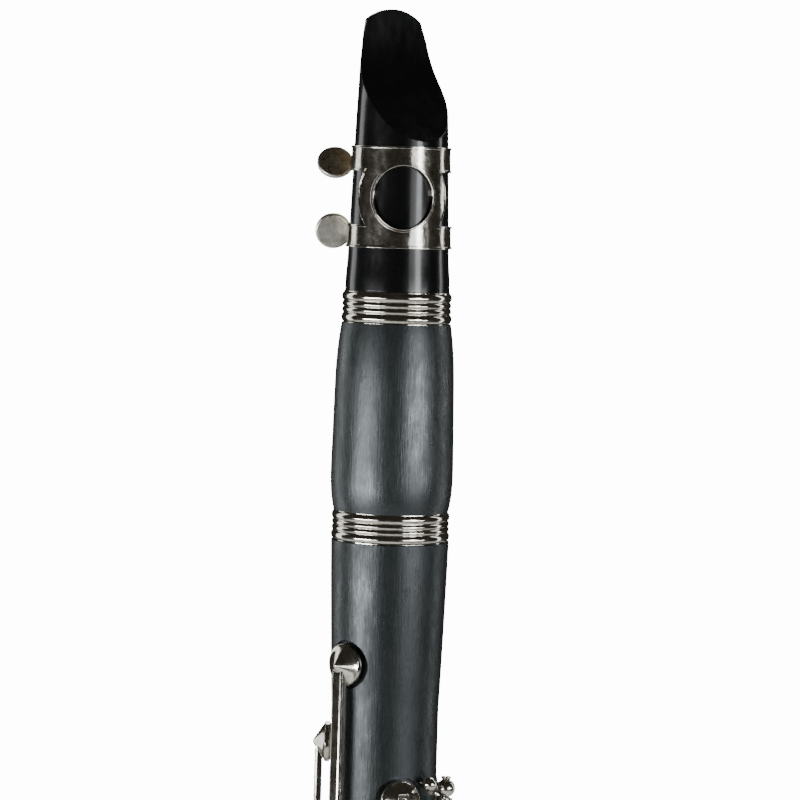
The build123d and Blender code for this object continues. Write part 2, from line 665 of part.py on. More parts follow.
def right_sliver_key():
    shape = key_tube("right_sliver_key") + cup_arm("right_sliver_key")
    return shape + hoop(-21, -45, 19.0, 20.6, 256.6, 259.4) + touch(-21, 258, 21.2, 5.4, 7.4)


def g_sharp_key():
    shape = key_tube("g_sharp_key") + cup_arm("g_sharp_key")
    return shape + hoop(-16, -38, 20.2, 22.2, 222.4, 225.4) + touch(-37, 224, 23.0, 8.4, 9.0)


def low_key(name):
    """Low key's tube and cup, with the arm that its lever's foot pushes on."""
    z = CUPS[name]["z"]
    return key_tube(name) + cup_arm(name) + hoop(0, 28, 18.5, 20.1, z - 1.3, z + 1.3)


def high_arm(name, end, low, high):
    """Finger arm that passes over the neighbouring tubes."""
    theta = TUBE_KEYS[name]["theta"]
    return hoop(theta, end, 21.9, 23.2, low, high) + bar(theta, low, high, 19.5, 23.2, 2.6)


def low_f_sharp_key():
    arm = hoop(-60, -42, 20.5, 22.4, 211.4, 214.4)
    return low_key("low_f_sharp_key") + arm + touch(-42, 212.9, 23.3, 12, 9.4)


def low_f_key():
    return low_key("low_f_key") + high_arm("low_f_key", -44, 200.4, 203.4) + touch(-43, 201.9, 23.9, 12, 9.4)


def low_e_key():
    return low_key("low_e_key") + high_arm("low_e_key", -46, 190.0, 193.0) + touch(-45, 191.5, 23.9, 12, 9.4)


def lever(name, follower, finger):
    """Long lever: a finger plate near its tube's top and a foot over the low key that it closes."""
    theta = TUBE_KEYS[name]["theta"]
    z = CUPS[follower]["z"]
    shape = key_tube(name) + high_arm(name, 50, finger - 1.4, finger + 1.4)
    shape += touch(50, finger - 0.4, 23.9, 9.4, 9) + bar(theta, z - 1.6, z + 1.6, 19.5, 22.6, 2.6)
    return shape + hoop(30, theta + 1, 21.2, 22.6, z - 1.6, z + 1.6)


KEY_SHAPES = {
    "left_first_ring_key": left_first_ring_key,
    "left_second_ring_key": left_second_ring_key,
    "right_ring_key": right_ring_key,
    "thumb_ring_key": thumb_ring_key,
    "register_key": register_key,
    "throat_a_key": throat_a_key,
    "throat_g_sharp_key": throat_g_sharp_key,
    "side_key_1": lambda: chromatic_key("side_key_1", -124, 0.5),
    "side_key_2": lambda: chromatic_key("side_key_2", -51, -0.5),
    "side_key_3": lambda: trill_key("side_key_3", -110, 1.0),
    "side_key_4": lambda: trill_key("side_key_4", -65, -1.0),
    "left_sliver_key": left_sliver_key,
    "c_sharp_key": c_sharp_key,
    "right_sliver_key": right_sliver_key,
    "g_sharp_key": g_sharp_key,
    "low_f_sharp_key": low_f_sharp_key,
    "low_f_key": low_f_key,
    "low_e_key": low_e_key,
    "f_sharp_lever": lambda: lever("f_sharp_lever", "low_f_sharp_key", 294.6),
    "f_lever": lambda: lever("f_lever", "low_f_key", 283.8),
    "e_lever": lambda: lever("e_lever", "low_e_key", 273.2),
}


def make_key(name):
    """Metal of a key, in the place that it has when its pad is closed."""
    shape = KEY_SHAPES[name]()
    if name in CUPS:
        shape -= pad_room(**CUPS[name])
    axis = hinge_axis(name)
    hole = Plane(origin=axis.position, z_dir=axis.direction) * Cylinder(HINGE_BORE, HOLE_LENGTH)
    return shape - hole


def resting(name, shape):
    """A key that its spring holds open stands back from its closed place by its travel."""
    key = TUBE_KEYS.get(name)
    if key and key["open"]:
        return shape.rotate(hinge_axis(name), -key["travel"])
    return shape


# ---- posts, rods and springs ---------------------------------------------------------------------------

# Posts of the rods along the body: angle, radius of the rod, body radius and the posts' levels
POST_ROWS = (
    (45, UPPER_ROD_R, UPPER_R, (346.1, 411.5, 462.7)),
    (118, UPPER_ROD_R, UPPER_R, (427.2, 460.8)),
    (100, UPPER_ROD_R, UPPER_R, (328.4, 355.6)),
    (45, LOWER_ROD_R, LOWER_R, (238.0, 312.0)),
    (-45, LOWER_ROD_R, LOWER_R, (249.5, 266.5)),
    (-16, LOWER_ROD_R, LOWER_R, (207.4, 230.6)),
    (-60, LOWER_ROD_R, LOWER_R, (171.4, 231.1)),
    (-77, LOWER_ROD_R, LOWER_R, (146.9, 231.1)),
    (-94, LOWER_ROD_R, LOWER_R, (118.9, 231.1)),
    (72, LOWER_ROD_R, LOWER_R, (173.4, 298.8)),
    (89, LOWER_ROD_R, LOWER_R, (149.4, 298.8)),
    (106, LOWER_ROD_R, LOWER_R, (121.4, 298.8)),
)

# Posts of the rods across the body: angle and level of the rod and the posts' distances from the middle
CROSS_PAIRS = (
    (180, 478.0, 5.3, 2.2),
    (-2, 449.8, 4.5, 1.8),
    (-58, 397.0, 6.9, 2.4),
    (-117, 388.0, 6.9, 2.4),
    (-23, 365.0, 4.6, 1.9),
)


def post(theta, r, z, body_r, size=BALL, side=0.0):
    """Ball-headed post with its stem let into the wood."""
    stem = size * 0.6
    foot = body_r - 1.6
    neck = r - sqrt(size ** 2 - stem ** 2)
    outline = Wire([
        Line((0, foot), (stem, foot)),
        Line((stem, foot), (stem, neck)),
        ThreePointArc((stem, neck), (size, r), (0, r + size)),
        Line((0, r + size), (0, foot)),
    ])
    return facing(theta, 0, z, side) * revolve(Plane.XZ * make_face(outline.edges()), Axis.Z)


def make_posts():
    solids = []
    for theta, r, body_r, levels in POST_ROWS:
        solids += [post(theta, r, z, body_r) for z in levels]
    for theta, z, half, size in CROSS_PAIRS:
        solids += [post(theta, UPPER_ROD_R, z, UPPER_R - 1.0, size, side) for side in (-half, half)]
    solids.append(post(24, UPPER_ROD_R - 0.6, 464.5, UPPER_R, 1.9))
    return Compound(children=solids)


def make_rods():
    solids = []
    for theta, r, _, levels in POST_ROWS:
        solids.append(long_drum(theta, r, levels[0] - BALL - 0.2, levels[-1] + BALL + 0.2, ROD))
    for theta, z, half, size in CROSS_PAIRS:
        solids.append(cross_drum(theta, UPPER_ROD_R, z, -half - size - 0.2, half + size + 0.2, ROD))
    return Compound(children=solids)


def make_springs():
    """Needle springs, each a steel wire from a post along the tube that it turns."""
    solids = []
    for theta, r, body_r, levels in POST_ROWS:
        low = levels[0]
        wire_r = (body_r + r - TUBE) / 2 + 0.2
        solids.append(long_drum(theta, wire_r, low + 1.1, low + 10.5, 0.3))
    return Compound(children=solids)


def make_hole_tubes():
    """Thumb-hole tube and register tube, let into the back of the upper joint."""
    thumb = radial_drum(180, THUMB_HOLE, CHIMNEY, 8.6, UPPER_R + CHIMNEY_RISE)
    thumb -= radial_drum(180, THUMB_HOLE, FINGER_HOLE, 8.0, 20)
    vent = CUPS["register_key"]
    register = radial_drum(180, vent["z"], 2.5, 8.6, vent["seat"])
    register -= radial_drum(180, vent["z"], 1.5, 8.0, 20)
    return Compound(children=[thumb, register])


REST_LEVELS = (262.0, 292.0)


def make_thumb_rest():
    low, high = REST_LEVELS
    plate = hoop(168, 192, LOWER_R + 0.02, LOWER_R + 1.6, low, high)
    hook = bar(180, low + 8.0, low + 11.0, LOWER_R + 1.0, LOWER_R + 13.0, 12.0)
    hook = fillet(hook.edges().filter_by(Axis.Z), 1.2)
    rest = plate + hook
    for z in (low + 4.0, high - 6.0):
        rest -= radial_drum(180, z, 1.4, LOWER_R - 1, LOWER_R + 4)
    return rest


def make_thumb_rest_screws():
    solids = []
    for z in (REST_LEVELS[0] + 4.0, REST_LEVELS[1] - 6.0):
        head = radial_drum(180, z, 2.3, LOWER_R + 1.62, LOWER_R + 2.7)
        shank = radial_drum(180, z, 1.3, LOWER_R - 3.0, LOWER_R + 1.7)
        slot = bar(180, z - 3, z + 3, LOWER_R + 2.2, LOWER_R + 3, 0.5)
        solids.append(head + shank - slot)
    return Compound(children=solids)


# ---- whole instrument ----------------------------------------------------------------------------------

KEY_NAMES = [*TUBE_KEYS, *ROCKING_KEYS]


def build():
    nodes = {}
    mouthpiece_cork = cork_ring(MOUTHPIECE_TENON_R, BARREL_TOP - 14, BARREL_TOP - 3)
    turned_nodes = {"mouthpiece": make_mouthpiece(), "reed": make_reed()}
    for name, shape in turned_nodes.items():
        nodes[name] = Rot(0, 0, MOUTHPIECE_TURN) * shape
    nodes["mouthpiece_cork"] = mouthpiece_cork
    turn = Rot(0, 0, LIGATURE_TURN)
    nodes["ligature_band"] = turn * make_ligature()
    nodes["ligature_screw_upper"] = turn * make_ligature_screw(SCREW_LEVELS["upper"], 34)
    nodes["ligature_screw_lower"] = turn * make_ligature_screw(SCREW_LEVELS["lower"], -14)
    nodes["barrel"], nodes["barrel_top_ring"], nodes["barrel_bottom_ring"] = make_barrel()
    nodes["upper_joint"] = make_upper_joint()
    nodes["lower_joint"] = make_lower_joint()
    nodes["bell"], nodes["bell_rim_ring"], nodes["bell_socket_ring"] = make_bell()
    nodes["lower_joint_socket_ring"] = pipe(SOCKET_RING_R, SOCKET_RING_SEAT_R, SOCKET_RING_BOTTOM,
                                            LOWER_TOP - 0.02)
    nodes["tenon_corks"] = make_tenon_corks()
    nodes["tone_hole_tubes"] = make_hole_tubes()
    nodes["thumb_rest"] = make_thumb_rest()
    nodes["thumb_rest_screws"] = make_thumb_rest_screws()
    nodes["posts"] = make_posts()
    nodes["hinge_rods"] = make_rods()
    nodes["needle_springs"] = make_springs()
    for name in KEY_NAMES:
        nodes[name] = resting(name, make_key(name))
    for name, spot in CUPS.items():
        nodes[name.replace("_key", "") + "_pad"] = resting(name, pad(**spot))
    return nodes


def main():
    os.makedirs("parts", exist_ok=True)
    for name, shape in build().items():
        export_step(shape, f"parts/{name}.step")


if __name__ == "__main__":
    main()
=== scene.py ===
import json
from math import cos, pi, radians, sin, sqrt

import bpy
from mathutils import Matrix, Vector


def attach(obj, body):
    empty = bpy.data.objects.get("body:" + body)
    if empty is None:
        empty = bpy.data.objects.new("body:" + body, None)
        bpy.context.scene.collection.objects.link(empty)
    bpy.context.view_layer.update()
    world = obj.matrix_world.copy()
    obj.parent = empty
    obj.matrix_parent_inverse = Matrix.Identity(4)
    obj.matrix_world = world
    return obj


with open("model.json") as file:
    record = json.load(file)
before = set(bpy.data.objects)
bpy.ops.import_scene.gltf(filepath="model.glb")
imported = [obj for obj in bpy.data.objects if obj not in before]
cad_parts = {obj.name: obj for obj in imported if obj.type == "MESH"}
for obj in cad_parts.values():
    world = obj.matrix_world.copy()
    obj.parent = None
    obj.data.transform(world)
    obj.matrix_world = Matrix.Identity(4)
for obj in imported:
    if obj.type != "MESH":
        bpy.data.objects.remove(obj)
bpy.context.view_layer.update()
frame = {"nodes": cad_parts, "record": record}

# A B flat clarinet standing on its bell, +Z up, with its front towards -Y. The camera, the lights and the
# materials are in metres, and the small parts are laid out in millimetres. Angles round the bore are in
# degrees from the front, growing towards +X.

SCENE = bpy.context.scene


def outward(theta):
    """Direction straight away from the bore."""
    return Vector((sin(radians(theta)), -cos(radians(theta)), 0))


def tangent(theta):
    """Direction round the bore, towards growing angles."""
    return Vector((cos(radians(theta)), sin(radians(theta)), 0))


def upward(level):
    return Vector((0, 0, level))


def circle(steps):
    """Angles of even steps round a circle, in radians."""
    return [2 * pi * k / steps for k in range(steps)]


# ---- camera --------------------------------------------------------------------------------------------

CAMERA_AZIMUTH = -20.0
CAMERA_DISTANCE = 0.85
CAMERA_HEIGHT = 0.620
CAMERA_ROLL = 1.7
AIM_HEIGHT = 0.5655
AIM_SIDE = 0.0016
LENS = 143.5


def make_camera():
    place = outward(CAMERA_AZIMUTH) * CAMERA_DISTANCE + upward(CAMERA_HEIGHT)
    aim = tangent(CAMERA_AZIMUTH) * AIM_SIDE + upward(AIM_HEIGHT)
    data = bpy.data.cameras.new("camera")
    data.lens = LENS
    data.clip_start = 0.05
    data.clip_end = 20.0
    camera = bpy.data.objects.new("camera", data)
    camera.location = place
    turn = (aim - place).to_track_quat("-Z", "Y").to_matrix()
    camera.rotation_euler = (turn @ Matrix.Rotation(radians(CAMERA_ROLL), 3, "Z")).to_euler()
    SCENE.collection.objects.link(camera)
    SCENE.camera = camera


# ---- material tools ------------------------------------------------------------------------------------

class Shader:
    """A node material built step by step on one Principled shader."""

    def __init__(self, name, **values):
        self.material = bpy.data.materials.new(name)
        self.material.use_nodes = True
        self.tree = self.material.node_tree
        self.main = self.tree.nodes["Principled BSDF"]
        self.place = self.node("ShaderNodeTexCoord").outputs["Object"]
        for key, value in values.items():
            self.main.inputs[key.replace("_", " ")].default_value = value

    def node(self, kind, **values):
        made = self.tree.nodes.new(kind)
        for key, value in values.items():
            setattr(made, key, value)
        return made

    def link(self, source, target):
        self.tree.links.new(source, target)

    def noise(self, scale, detail=4.0, rough=0.55, along=1.0):
        """Noise, drawn out along the bore where along is under 1."""
        mapping = self.node("ShaderNodeMapping")
        mapping.inputs["Scale"].default_value = (1, 1, along)
        self.link(self.place, mapping.inputs["Vector"])
        made = self.node("ShaderNodeTexNoise")
        made.inputs["Scale"].default_value = scale
        made.inputs["Detail"].default_value = detail
        made.inputs["Roughness"].default_value = rough
        self.link(mapping.outputs["Vector"], made.inputs["Vector"])
        return made.outputs["Fac"]

    def granules(self, scale):
        """Distance from the middle of each cell."""
        made = self.node("ShaderNodeTexVoronoi")
        made.inputs["Scale"].default_value = scale
        self.link(self.place, made.inputs["Vector"])
        return made.outputs["Distance"]

    def spread(self, source, low, high):
        """Maps the middle part of a texture's values onto a range of numbers."""
        made = self.node("ShaderNodeMapRange")
        made.inputs["From Min"].default_value = 0.3
        made.inputs["From Max"].default_value = 0.7
        made.inputs["To Min"].default_value = low
        made.inputs["To Max"].default_value = high
        self.link(source, made.inputs["Value"])
        return made.outputs["Result"]

    def ramp(self, source, *stops):
        made = self.node("ShaderNodeValToRGB")
        points = made.color_ramp.elements
        while len(points) < len(stops):
            points.new(0.5)
        for point, (where, colour) in zip(points, stops):
            point.position = where
            point.color = (*colour, 1.0)
        self.link(source, made.inputs["Fac"])
        return made.outputs["Color"]

    def maths(self, operation, first, second):
        made = self.node("ShaderNodeMath", operation=operation)
        for socket, value in zip(made.inputs, (first, second)):
            if isinstance(value, (int, float)):
                socket.default_value = value
            else:
                self.link(value, socket)
        return made.outputs["Value"]

    def average(self, first, second):
        return self.maths("ADD", self.maths("MULTIPLY", first, 0.5), self.maths("MULTIPLY", second, 0.5))

    def soft_edges(self, radius):
        """Shading normal that rounds over every sharp edge."""
        made = self.node("ShaderNodeBevel", samples=6)
        made.inputs["Radius"].default_value = radius
        return made.outputs["Normal"]

    def bump(self, source, strength, distance, after=None):
        made = self.node("ShaderNodeBump")
        made.inputs["Strength"].default_value = strength
        made.inputs["Distance"].default_value = distance
        self.link(source, made.inputs["Height"])
        if after is not None:
            self.link(after, made.inputs["Normal"])
        return made.outputs["Normal"]

    def finish(self, colour, roughness=None, normal=None):
        """Links the maps to the shader and returns the material."""
        maps = {"Base Color": colour, "Roughness": roughness, "Normal": normal}
        for socket, source in maps.items():
            if source is not None:
                self.link(source, self.main.inputs[socket])
        return self.material


# ---- materials -----------------------------------------------------------------------------------------

NICKEL_BRIGHT = (0.80, 0.77, 0.70)
NICKEL_DULL = (0.57, 0.53, 0.45)
LIGATURE_DULL = (0.42, 0.38, 0.31)
JOINT_SHEEN = 0.62
BARREL_SHEEN = 0.92


def nickel(name, rough=(0.08, 0.20), mottle=0.2, dull=NICKEL_DULL):
    """Nickel plating, polished and handled, with a warm dull film in patches."""
    look = Shader(name, Metallic=1.0)
    film = look.average(look.noise(160, 5, 0.6), look.noise(900, 5, 0.7))
    colour = look.ramp(film, (0.40, dull), (0.56, NICKEL_BRIGHT))
    roughness = look.spread(look.noise(620, 5, 0.7, 0.6), *rough)
    waves = look.bump(look.noise(330, 4, 0.6), mottle, 0.00016, look.soft_edges(0.0002))
    hairlines = look.bump(look.noise(3200, 3, 0.6, 0.12), 0.05, 0.00002, waves)
    return look.finish(colour, roughness, hairlines)


def ebonite():
    """Polished hard rubber."""
    look = Shader("polished_ebonite", Specular_IOR_Level=0.5, Coat_Weight=0.2, Coat_Roughness=0.06)
    colour = look.ramp(look.noise(60, 5), (0.3, (0.0025, 0.0025, 0.003)), (0.75, (0.006, 0.006, 0.007)))
    roughness = look.spread(look.noise(300, 5, 0.65, 0.3), 0.13, 0.26)
    hairlines = look.bump(look.noise(5200, 2, 0.6, 0.05), 0.05, 0.00001, look.soft_edges(0.0005))
    waves = look.bump(look.noise(170, 3), 0.10, 0.0001, hairlines)
    return look.finish(colour, roughness, waves)


def brushed_body(name, sheen):
    """Black body with a fine brushed grain along the bore, rubbed unevenly under a satin finish."""
    look = Shader(name, Specular_IOR_Level=sheen, Specular_Tint=(0.90, 0.97, 1.0, 1.0))
    grain = look.noise(2300, 3, 0.7, 0.05)
    rub = look.noise(230, 5, 0.65, 0.55)
    tone = look.average(rub, grain)
    colour = look.ramp(tone, (0.38, (0.004, 0.005, 0.0055)), (0.5, (0.010, 0.0125, 0.013)),
                       (0.62, (0.026, 0.031, 0.031)))
    roughness = look.maths("ADD", look.spread(rub, 0.46, 0.24), look.spread(grain, 0.06, -0.06))
    waves = look.bump(look.noise(240, 3, 0.55, 0.45), 0.45, 0.00015)
    return look.finish(colour, roughness, look.bump(grain, 0.9, 0.00007, waves))


def cane():
    """Cut reed cane: long pale fibres with darker pores."""
    look = Shader("reed_cane", Specular_IOR_Level=0.35)
    fibre = look.noise(1800, 5, 0.65, 0.03)
    colour = look.ramp(fibre, (0.3, (0.50, 0.33, 0.12)), (0.5, (0.74, 0.56, 0.27)),
                       (0.75, (0.85, 0.70, 0.40)))
    return look.finish(colour, look.spread(fibre, 0.45, 0.65), look.bump(fibre, 0.4, 0.00008))


def cork():
    """Tenon cork: ochre granules with dark gaps, a little greasy."""
    look = Shader("tenon_cork", Specular_IOR_Level=0.4)
    cells = look.granules(900)
    colour = look.ramp(cells, (0.1, (0.60, 0.40, 0.21)), (0.6, (0.42, 0.25, 0.12)), (0.9, (0.16, 0.08, 0.04)))
    return look.finish(colour, look.spread(look.noise(300), 0.5, 0.75), look.bump(cells, 0.6, 0.0002))


def pad_skin():
    """Fish skin over felt: warm, thin and slightly glossy."""
    look = Shader("pad_skin", Specular_IOR_Level=0.45, Sheen_Weight=0.2)
    colour = look.ramp(look.noise(260, 5), (0.3, (0.70, 0.55, 0.33)), (0.7, (0.87, 0.77, 0.56)))
    wrinkles = look.bump(look.noise(1500, 4), 0.3, 0.00008)
    return look.finish(colour, look.spread(look.noise(700), 0.35, 0.55), wrinkles)


def blued_steel():
    """Tempered spring wire, in blues that vary along it."""
    look = Shader("blued_spring_steel", Metallic=1.0)
    colour = look.ramp(look.noise(90, 3, 0.5, 2), (0.3, (0.05, 0.08, 0.22)), (0.7, (0.14, 0.15, 0.30)))
    hairlines = look.bump(look.noise(4000, 3, 0.6, 0.1), 0.15, 0.00002)
    return look.finish(colour, look.spread(look.noise(800), 0.2, 0.4), hairlines)


def floor_paper():
    look = Shader("floor_paper", Roughness=0.9)
    colour = look.ramp(look.noise(3, 3), (0.3, (0.80, 0.80, 0.79)), (0.7, (0.84, 0.84, 0.83)))
    return look.finish(colour)


def slot_materials():
    """The material of each slot in the record."""
    return {
        "ebonite": ebonite(),
        "body_black": brushed_body("brushed_joints", JOINT_SHEEN),
        "nickel": nickel("key_nickel"),
        "cane": cane(),
        "cork": cork(),
        "pad_skin": pad_skin(),
        "spring_steel": blued_steel(),
    }


def node_materials():
    """Materials of the nodes that are finished in their own way."""
    rings = nickel("ring_nickel", (0.07, 0.16), 0.12)
    screws = nickel("screw_nickel", (0.24, 0.40), 0.15)
    return {
        "barrel": brushed_body("brushed_barrel", BARREL_SHEEN),
        "barrel_top_ring": rings,
        "barrel_bottom_ring": rings,
        "ligature_band": nickel("ligature_nickel", (0.09, 0.19), 0.45, LIGATURE_DULL),
        "ligature_screw_upper": screws,
        "ligature_screw_lower": screws,
    }


# ---- finish of the CAD nodes ---------------------------------------------------------------------------

SMOOTH_ANGLE = 32
MERGE_DISTANCE = 1e-6


def smooth_group():
    """Geometry nodes that join coincident corners and smooth the shading up to a set edge angle."""
    group = bpy.data.node_groups.new("smooth_by_angle", "GeometryNodeTree")
    group.interface.new_socket("Geometry", in_out="INPUT", socket_type="NodeSocketGeometry")
    group.interface.new_socket("Geometry", in_out="OUTPUT", socket_type="NodeSocketGeometry")
    nodes, links = group.nodes, group.links
    start = nodes.new("NodeGroupInput")
    end = nodes.new("NodeGroupOutput")
    merge = nodes.new("GeometryNodeMergeByDistance")
    merge.inputs["Distance"].default_value = MERGE_DISTANCE
    angle = nodes.new("GeometryNodeInputMeshEdgeAngle")
    compare = nodes.new("FunctionNodeCompare")
    compare.data_type = "FLOAT"
    compare.operation = "LESS_EQUAL"
    compare.inputs["B"].default_value = radians(SMOOTH_ANGLE)
    edges = nodes.new("GeometryNodeSetShadeSmooth")
    edges.domain = "EDGE"
    faces = nodes.new("GeometryNodeSetShadeSmooth")
    faces.domain = "FACE"
    links.new(start.outputs[0], merge.inputs["Geometry"])
    links.new(merge.outputs["Geometry"], edges.inputs["Geometry"])
    links.new(angle.outputs["Unsigned Angle"], compare.inputs["A"])
    links.new(compare.outputs["Result"], edges.inputs["Shade Smooth"])
    links.new(edges.outputs["Geometry"], faces.inputs["Geometry"])
    links.new(faces.outputs["Geometry"], end.inputs[0])
    return group


def finish_nodes(by_slot, by_node):
    group = smooth_group()
    for row in frame["record"]["subparts"]:
        name = row["node"]
        node = frame["nodes"][name]
        node.data.materials.clear()
        node.data.materials.append(by_node.get(name, by_slot[row["material_slot"]]))
        node.modifiers.new("smooth", "NODES").node_group = group


# ---- small parts, in millimetres -----------------------------------------------------------------------

PIECE_SMOOTH_ANGLE = 38

# The cone that the ligature sits on, as its radius at one level and its taper above that
CONE_LEVEL = 603.0
CONE_RADIUS = 13.5
CONE_TAPER = 0.0335

# The ligature: its thickness, the angle of its middle, the half width and half height of its window and of
# the disc round that, and how far above and below the middle the disc's free sides reach, as an angle
BAND_THICKNESS = 0.55
LIGATURE_TURN = -16.0
WINDOW_LEVEL = 619.5
WINDOW_SIZE = (7.785, 8.35)
DISC_SIZE = (11.54, 14.2)
DISC_SWING = 25.5

# Wire of the rolled edges: radii, distance back from the cut edge, and lift of the window's wire off the band
WINDOW_WIRE = 0.24
DISC_WIRE = 0.22
RIM_SETBACK = 0.12
WINDOW_LIFT = 0.30

# Rods along each joint of the body: angle, and the levels of the posts that hold them
UPPER_RODS = (
    (45, (346.1, 411.5, 462.7)),
    (118, (427.2, 460.8)),
    (100, (328.4, 355.6)),
)
LOWER_RODS = (
    (45, (238.0, 312.0)),
    (-45, (249.5, 266.5)),
    (-16, (207.4, 230.6)),
    (-60, (171.4, 231.1)),
    (-77, (146.9, 231.1)),
    (-94, (118.9, 231.1)),
    (72, (173.4, 298.8)),
    (89, (149.4, 298.8)),
    (106, (121.4, 298.8)),
)

# Radii of the two joints, height of the rods above them, and how far a head stands past its post's middle
UPPER_RADIUS = 14.4
LOWER_RADIUS = 15.0
ROD_HEIGHT = 4.2
POST_OVERHANG = 2.7

# Rods across the upper joint: angle, level and distance of the rod's ends from its middle
CROSS_RODS = ((180, 478.0, 7.7), (-2, 449.8, 6.5), (-58, 397.0, 9.5), (-117, 388.0, 9.5), (-23, 365.0, 6.7))

# Slotted heads: radius, height and width of the slot. The slots are turned by an angle on the long rods, and
# by a slope on the rods across.
HEAD = (1.35, 0.45, 0.42)
CROSS_HEAD = (1.3, 0.4, 0.4)
SLOT_TURN = 35
SLOT_SLOPE = 0.5

# Half outline of a post's collar: radius and height above the wood
COLLAR = ((0, -0.5), (2.35, -0.5), (2.35, 0.1), (2.2, 0.32), (1.9, 0.42), (1.75, 0.75), (0, 0.75))

# Cork bumpers under the keys that a spring holds shut: angle, level, distance of the key's underside from the
# bore's axis, and thickness
BUMPERS = {
    "register_key": (180, 463.5, 18.6, 1.2),
    "throat_a_key": (-2, 443.2, 17.6, 1.1),
    "side_key_1": (-124, 344.0, 17.6, 0.6),
    "side_key_2": (-51, 344.0, 17.6, 0.4),
    "side_key_3": (-110, 364.0, 17.6, 1.1),
    "side_key_4": (-65, 364.0, 17.6, 1.1),
    "left_sliver_key": (-28, 387.0, 19.1, 1.3),
}
BUMPER_RADIUS = 1.7
BUMPER_ROUNDING = 0.2
BUMPER_FLARE = 0.02


class Solid:
    """Corners and faces gathered in millimetres, then made into a piece."""

    def __init__(self):
        self.corners = []
        self.faces = []

    def add(self, corners, faces):
        start = len(self.corners)
        self.corners += [corner / 1000 for corner in corners]
        self.faces += [tuple(start + i for i in face) for face in faces]

    def turn(self, origin, axis, outline, steps=28):
        """Solid turned about an axis from an outline of radii and heights, which starts and ends on it."""
        across = axis.orthogonal().normalized()
        other = axis.cross(across)
        corners = [origin + axis * outline[0][1]]
        for radius, height in outline[1:-1]:
            for angle in circle(steps):
                corners.append(origin + axis * height + (across * cos(angle) + other * sin(angle)) * radius)
        corners.append(origin + axis * outline[-1][1])
        rows = len(outline) - 2
        faces = []
        for k in range(steps):
            after = (k + 1) % steps
            faces.append((0, 1 + after, 1 + k))
            for row in range(rows - 1):
                low, high = 1 + row * steps, 1 + (row + 1) * steps
                faces.append((low + k, low + after, high + after, high + k))
            top = 1 + (rows - 1) * steps
            faces.append((top + k, top + after, len(corners) - 1))
        self.add(corners, faces)

    def half_head(self, origin, axis, across, radius, height, gap, steps=12):
        """One half of a slotted screw head: a thick D with its top edge rounded over."""
        other = axis.cross(across)
        shrink, shoulder = 0.86, 0.7
        start = gap / 2 / radius
        arc = [start + (pi - 2 * start) * k / steps for k in range(steps + 1)]
        flat = [(radius * cos(angle), radius * sin(angle)) for angle in arc]
        inset = [(x * shrink, gap / 2 + (y - gap / 2) * shrink) for x, y in flat]
        levels = ((flat, 0.0), (flat, height * shoulder), (inset, height))
        count = len(flat)
        corners = [origin + across * x + other * y + axis * level for ring, level in levels for x, y in ring]
        faces = [tuple(range(count - 1, -1, -1)), tuple(range(2 * count, 3 * count))]
        for first in (0, count):
            for k in range(count):
                after = (k + 1) % count
                faces.append((first + k, first + after, first + count + after, first + count + k))
        self.add(corners, faces)

    def slotted_head(self, origin, axis, across, size):
        for flip in (-1, 1):
            self.half_head(origin, axis, across * flip, *size)

    def wire(self, path, radius, closed, sides=12):
        """Round wire along a path round the bore, with small flat ends unless it is closed."""
        count = len(path)
        corners, faces = [], []
        for i, point in enumerate(path):
            ahead = path[(i + 1) % count] if closed or i + 1 < count else point
            behind = path[i - 1] if closed or i else point
            along = (ahead - behind).normalized()
            side = along.cross(Vector((point.x, point.y, 0))).normalized()
            lift = side.cross(along)
            corners += [point + (side * cos(angle) + lift * sin(angle)) * radius for angle in circle(sides)]
        for i in range(count if closed else count - 1):
            here, there = i * sides, (i + 1) % count * sides
            for k in range(sides):
                after = (k + 1) % sides
                faces.append((here + k, there + k, there + after, here + after))
        if not closed:
            faces.append(tuple(range(sides)))
            faces.append(tuple(range(len(corners) - 1, len(corners) - 1 - sides, -1)))
        self.add(corners, faces)

    def piece(self, name, material, body):
        mesh = bpy.data.meshes.new(name)
        mesh.from_pydata(self.corners, [], self.faces)
        mesh.validate()
        mesh.set_sharp_from_angle(angle=radians(PIECE_SMOOTH_ANGLE))
        mesh.materials.append(material)
        made = bpy.data.objects.new(name, mesh)
        SCENE.collection.objects.link(made)
        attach(made, body)


def on_ligature(x, z, lift):
    """Point near the outer face of the ligature, by its distance across the front and its level."""
    radius = CONE_RADIUS - (z - CONE_LEVEL) * CONE_TAPER + BAND_THICKNESS + lift
    turn = Matrix.Rotation(radians(LIGATURE_TURN), 3, "Z")
    return turn @ Vector((x, -sqrt(radius * radius - x * x), z))


def add_ligature_edges(metal):
    """Rolled edges of the ligature's window and disc."""
    rims = Solid()
    wide, high = (size + RIM_SETBACK for size in WINDOW_SIZE)
    window = [on_ligature(wide * cos(a), WINDOW_LEVEL + high * sin(a), WINDOW_LIFT) for a in circle(96)]
    rims.wire(window, WINDOW_WIRE, True)
    swing = [radians(DISC_SWING * (k / 12 - 1)) for k in range(25)]
    for side in (-1, 1):
        wide, high = side * (DISC_SIZE[0] - RIM_SETBACK), DISC_SIZE[1]
        disc = [on_ligature(wide * cos(a), WINDOW_LEVEL + high * sin(a), 0.0) for a in swing]
        rims.wire(disc, DISC_WIRE, False)
    rims.piece("ligature_rolled_edges", metal, "mouthpiece")


def long_rods():
    """Angle, radius of the wood below and posts' levels of each rod along the body."""
    for radius, rods in ((UPPER_RADIUS, UPPER_RODS), (LOWER_RADIUS, LOWER_RODS)):
        for theta, levels in rods:
            yield theta, radius, levels


